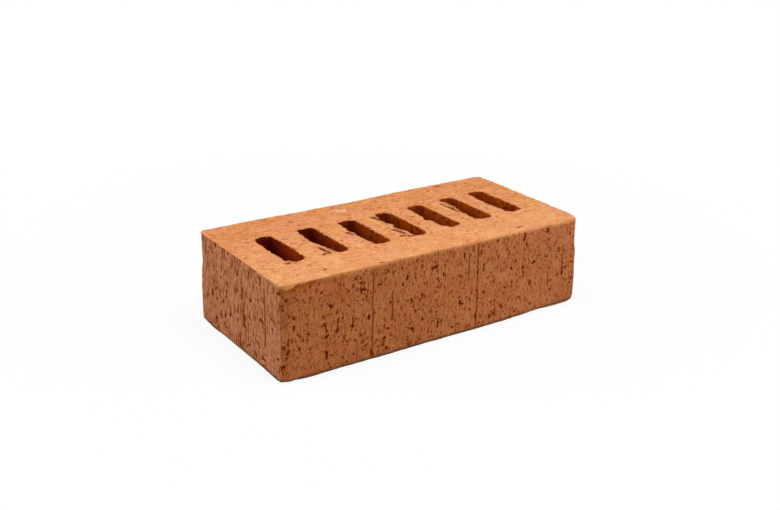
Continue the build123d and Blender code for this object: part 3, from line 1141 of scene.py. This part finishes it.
def bed_marks(tree, at, flecks, specks):
    """Fine marks of the beds: the stronger of specks and stains, with fewer near the front and where the
    sway is low."""
    from_front = ramp(tree, at.axes[1], *FROM_FRONT)
    share = product(tree, ramp(tree, at.sway, *BED_SPECK_SHARE), from_front)
    speck = add_group(tree, specks, {"Position": at.ragged, "Share": share, **BED_SPECKS})
    level = ramp(tree, at.sway, *BED_STAIN_LEVEL)
    stain = add_group(tree, flecks, {"Position": at.ragged, "Stretch": BED_STAIN_STRETCH, "Level": level})
    speck = product(tree, speck, BED_SPECK_STRENGTH)
    stain = product(tree, stain, product(tree, from_front, BED_STAIN_STRENGTH))
    return product(tree, highest(tree, speck, stain), at.bed)


def wall_scratches(tree, at, side_tone):
    """Scratches of the front and the left end: the strongest at each place, swaying a little on their way
    down and fainter where the tone is pale."""
    scratch = scratch_group()
    lines = 0.0
    for along, outwards, half, scratches in (
            (at.axes[0], at.axes[1], WIDTH / 2, FRONT_SCRATCHES),
            (at.axes[1], at.axes[0], LENGTH / 2, LEFT_SCRATCHES)):
        face = ramp(tree, outwards, SCRATCH_INSET[0] - half, SCRATCH_INSET[1] - half)
        across = calculate(tree, "MULTIPLY_ADD", at.sway, SCRATCH_SWAY, along)
        for head, foot, low, high, half_width, strength in scratches:
            line = add_group(tree, scratch, {
                "Across": across, "Up": at.axes[2], "Head": head, "Foot": foot, "Low": low, "High": high,
                "Half Width": half_width})
            lines = highest(tree, lines, product(tree, line, face, strength))
    return product(tree, lines, ramp(tree, side_tone, *SCRATCH_TONE))


def side_colour(tree, at, tone, ochre):
    """Colour of the sides: the long ones grow paler to the right by painted light and darker at the left
    arris by painted shade, with patches of ochre and blush, and the ends have a tone of their own."""
    # Painted light to the right and painted shade at the left arris shift the tone of the long sides
    shift = calculate(tree, "ADD", ramp(tree, at.axes[0], *PAINTED_LIGHT_TO_RIGHT), ramp(tree, at.axes[0], *PAINTED_ARRIS_SHADE))
    longs = blend(tree, calculate(tree, "ADD", tone, shift), *LONG_TONES)
    longs = blend(tree, ramp(tree, ochre, *LONG_OCHRE_SHARE), longs, LONG_OCHRE)
    longs = blend(tree, ramp(tree, at.sway, *LONG_BLUSH_SHARE), longs, LONG_BLUSH)
    return blend(tree, at.end, longs, blend(tree, tone, *END_TONES))


def bed_colour(tree, at, tone, ochre):
    """Colour of the beds: darker to the back, with patches of ochre and blush."""
    beds = blend(tree, calculate(tree, "SUBTRACT", tone, ramp(tree, at.axes[1], *TO_BACK)), *BED_TONES)
    beds = blend(tree, ramp(tree, ochre, *BED_OCHRE_SHARE), beds, BED_OCHRE)
    blush = clouds(tree, at.position, *BLUSH)[0]
    return blend(tree, ramp(tree, blush, *BED_BLUSH_SHARE), beds, BED_BLUSH)


def slot_colour_in_painted_shade(tree, at, flecks):
    """Colour of the slots, which is painted shade: dark red at the left and more orange at the right, with
    more painted shade to the back, at their mouths and by blots and grain."""
    shades = [product(tree, ramp(tree, at.axes[1], *SLOT_TO_BACK), ramp(tree, at.axes[0], *SLOT_TO_LEFT))]
    for values, strength in ((SLOT_BLOTS, SLOT_BLOT_STRENGTH), (SLOT_GRAIN, SLOT_GRAIN_STRENGTH)):
        shades.append(product(tree, add_group(tree, flecks, {"Position": at.ragged, **values}), strength))
    shades.append(ramp(tree, at.mouth, *SLOT_MOUTH))
    place = calculate(tree, "MULTIPLY_ADD", at.sway, SLOT_SWAY, at.axes[0])
    slots = blend(tree, ramp(tree, place, *SLOT_ALONG), SLOT_LEFT, SLOT_RIGHT)
    return blend(tree, highest(tree, *shades), slots, SLOT_SHADE)


def fired_clay():
    """Fired clay: long sides and ends in streaked brown, with painted light to the right and painted shade at
    the left arris, beds in smoother orange, dark red slots in painted shade, with specks, pits that are
    partly painted shade, scratches, pale grains, raw crumbs and a pale smear, and painted shade below the
    dragged clay, at the foot and down the near right arris."""
    material = bpy.data.materials.new("fired_clay")
    material.use_nodes = True
    tree = material.node_tree
    shader = tree.nodes["Principled BSDF"]
    shader.inputs["Specular IOR Level"].default_value = SPECULAR
    at = clay_places(tree)
    specks = specks_group()
    flecks = flecks_group()
    tone = tone_group()
    side_tone = add_group(tree, tone, {"Position": at.position, **SIDE_TONE})
    bed_tone = add_group(tree, tone, {"Position": at.position, **BED_TONE})

    fine = highest(tree, side_marks(tree, at, flecks, specks), bed_marks(tree, at, flecks, specks))
    lines = wall_scratches(tree, at, side_tone)
    crumbs = add_group(tree, specks, {"Position": at.ragged, **CRUMBS})
    torn = ramp(tree, product(tree, at.raw, crumbs), *CRUMB_EDGE)
    pit = product(tree, at.pit, calculate(tree, "MULTIPLY_ADD", at.gnawing, *PIT_GNAWING))
    hollow = highest(tree, product(tree, fine, FINE_DARK), ramp(tree, pit, *PIT_EDGE), lines, torn)

    ochre = clouds(tree, at.ragged, *OCHRE)["Color"]
    ochre = add_node(tree, "ShaderNodeSeparateColor", {0: ochre}).outputs[1]
    sides = blend(tree, at.drag, side_colour(tree, at, side_tone, ochre), DRAG_COLOUR)
    colour = blend(tree, at.bed, sides, bed_colour(tree, at, bed_tone, ochre))
    grains = add_group(tree, specks, {"Position": at.ragged, **GRAINS})
    for share, layer in (
            (product(tree, grains, GRAIN_STRENGTH), GRAIN_COLOUR),
            (ramp(tree, at.raw, *RAW_SHARE), RAW_COLOUR),
            (product(tree, at.smear, SMEAR_STRENGTH), SMEAR_COLOUR),
            # The slots' colour is painted shade
            (at.slot, slot_colour_in_painted_shade(tree, at, flecks)),
            # The lip value paints shade below the dragged clay
            (product(tree, at.lip, UNDER_LIP_SHADE_STRENGTH), UNDER_LIP_SHADE_COLOUR),
            # The dark of flecks and pits is partly darker clay and partly painted shade in their hollows
            (ramp(tree, hollow, *FLECK_DARK), blend(tree, at.bed, SIDE_FLECK, BED_FLECK)),
            (ramp(tree, hollow, *PIT_DARK), blend(tree, at.bed, SIDE_PIT, BED_PIT)),
            # Painted shade at the foot and down the near right arris
            (product(tree, at.grime, PAINTED_SHADE_STRENGTH), PAINTED_SHADE_COLOUR)):
        colour = blend(tree, share, colour, layer)
    tree.links.new(colour, shader.inputs["Base Color"])
    tree.links.new(ramp(tree, side_tone, *ROUGHNESS), shader.inputs["Roughness"])

    height = calculate(tree, "MULTIPLY_ADD", side_tone, TONE_HEIGHT, product(tree, fine, FINE_HEIGHT))
    height = calculate(tree, "MULTIPLY_ADD", lines, SCRATCH_HEIGHT, height)
    bump = add_node(tree, "ShaderNodeBump", {"Height": height, **BUMP})
    tree.links.new(bump.outputs[0], shader.inputs["Normal"])
    return material


# Stage

# Camera: place, turn to the right, tip downwards and roll, and lens and sensor width in millimetres
EYE = (-0.36578, -0.53064, 0.29013)
AZIMUTH = math.radians(34.394)
ELEVATION = math.radians(21.329)
ROLL = math.radians(0.887)
LENS = 50.14
SENSOR_WIDTH = 36.0

# Lamps: name, place, size, power and colour
LAMPS = (
    ("left_softbox", (-1.0, 0.5, 0.55), 0.6, 5.7, (0.96, 1.0, 1.08)),
    ("right_softbox", (0.85, -0.85, 0.5), 0.6, 4.2, (1.03, 1.0, 0.94)),
    ("overhead_softbox", (0.0, -0.2, 1.0), 0.8, 8.7, (1.0, 1.0, 1.0)))
LAMP_TARGET = (0.0, 0.0, 0.03)
ROOM_LIGHT = 0.03

# Floor: its paint, and the share of white light that the camera sees in it near the brick
FLOOR_HALF = 4.0
FLOOR_DROP = 0.0002
FLOOR_PAINT = 0.6
NEAR_GLOW = 0.8
NEAR_GLOW_STRENGTH = 1.1
GLOW_START = 0.16
GLOW_END = 0.45


def add_camera():
    """Camera at the eye point, turned right by the azimuth, tipped down by the elevation, then rolled."""
    data = bpy.data.cameras.new("camera")
    data.lens = LENS
    data.sensor_width = SENSOR_WIDTH
    data.sensor_fit = "HORIZONTAL"
    camera = bpy.data.objects.new("camera", data)
    turn = Matrix.Rotation(-AZIMUTH, 4, "Z")
    tip = Matrix.Rotation(math.pi / 2 - ELEVATION, 4, "X")
    roll = Matrix.Rotation(ROLL, 4, "Z")
    camera.matrix_world = Matrix.Translation(EYE) @ turn @ tip @ roll
    bpy.context.collection.objects.link(camera)
    bpy.context.scene.camera = camera


def add_softbox(name, place, size, power, colour):
    """Square area lamp at a place, facing the brick."""
    data = bpy.data.lights.new(name, "AREA")
    data.size = size
    data.energy = power
    data.color = colour
    lamp = bpy.data.objects.new(name, data)
    lamp.location = place
    direction = np.asarray(LAMP_TARGET) - np.asarray(place)
    flat = math.hypot(direction[0], direction[1])
    lamp.rotation_euler = (math.atan2(flat, -direction[2]), 0.0, math.atan2(-direction[0], direction[1]))
    bpy.context.collection.objects.link(lamp)


def seen_directly(tree):
    """One for rays from the camera and for those that mirror or pass light, and zero for the rest."""
    path = tree.nodes.new("ShaderNodeLightPath").outputs
    mirrored = calculate(tree, "MAXIMUM", path["Is Camera Ray"], path["Is Glossy Ray"])
    return calculate(tree, "MAXIMUM", mirrored, path["Is Transmission Ray"])


def add_floor():
    """Flat pale floor that the camera sees as white, with part of the brick's soft shadow left on it."""
    material = bpy.data.materials.new("pale_floor")
    material.use_nodes = True
    tree = material.node_tree
    tree.nodes.clear()
    output = tree.nodes.new("ShaderNodeOutputMaterial")
    place = add_node(tree, "ShaderNodeTexCoord").outputs["Object"]
    distance = add_node(tree, "ShaderNodeVectorMath", {0: place}, operation="LENGTH").outputs["Value"]
    share = ramp(tree, distance, GLOW_START, GLOW_END, NEAR_GLOW, 1.0)
    strength = ramp(tree, distance, GLOW_START, GLOW_END, NEAR_GLOW_STRENGTH, 1.0)
    paint = add_node(tree, "ShaderNodeBsdfDiffuse", {"Color": (FLOOR_PAINT, FLOOR_PAINT, FLOOR_PAINT, 1.0)})
    glow = add_node(tree, "ShaderNodeEmission", {"Color": (1.0, 1.0, 1.0, 1.0), "Strength": strength})
    mix = add_node(tree, "ShaderNodeMixShader", {
        0: calculate(tree, "MULTIPLY", seen_directly(tree), share), 1: paint.outputs[0], 2: glow.outputs[0]})
    tree.links.new(mix.outputs[0], output.inputs["Surface"])
    mesh = bpy.data.meshes.new("floor")
    signs = ((-1, -1), (1, -1), (1, 1), (-1, 1))
    corners = [(x * FLOOR_HALF, y * FLOOR_HALF, -FLOOR_DROP) for x, y in signs]
    mesh.from_pydata(corners, [], [(0, 1, 2, 3)])
    floor = bpy.data.objects.new("floor", mesh)
    floor.data.materials.append(material)
    bpy.context.collection.objects.link(floor)


def add_room():
    """Dim grey room that the camera sees as white."""
    world = bpy.data.worlds.new("room")
    world.use_nodes = True
    tree = world.node_tree
    strength = ramp(tree, seen_directly(tree), 0.0, 1.0, ROOM_LIGHT, 1.0)
    tree.nodes["Background"].inputs["Color"].default_value = (1.0, 1.0, 1.0, 1.0)
    tree.links.new(strength, tree.nodes["Background"].inputs["Strength"])
    bpy.context.scene.world = world


brick = make_piece("brick_clay", *worn_brick())
brick.data.materials.append(fired_clay())
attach(brick, "root")
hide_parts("brick")
print("brick", len(brick.data.vertices), "points", 2 * len(brick.data.polygons), "triangles")

add_floor()
for lamp in LAMPS:
    add_softbox(*lamp)
add_room()
add_camera()
bpy.context.scene.view_settings.view_transform = "Standard"
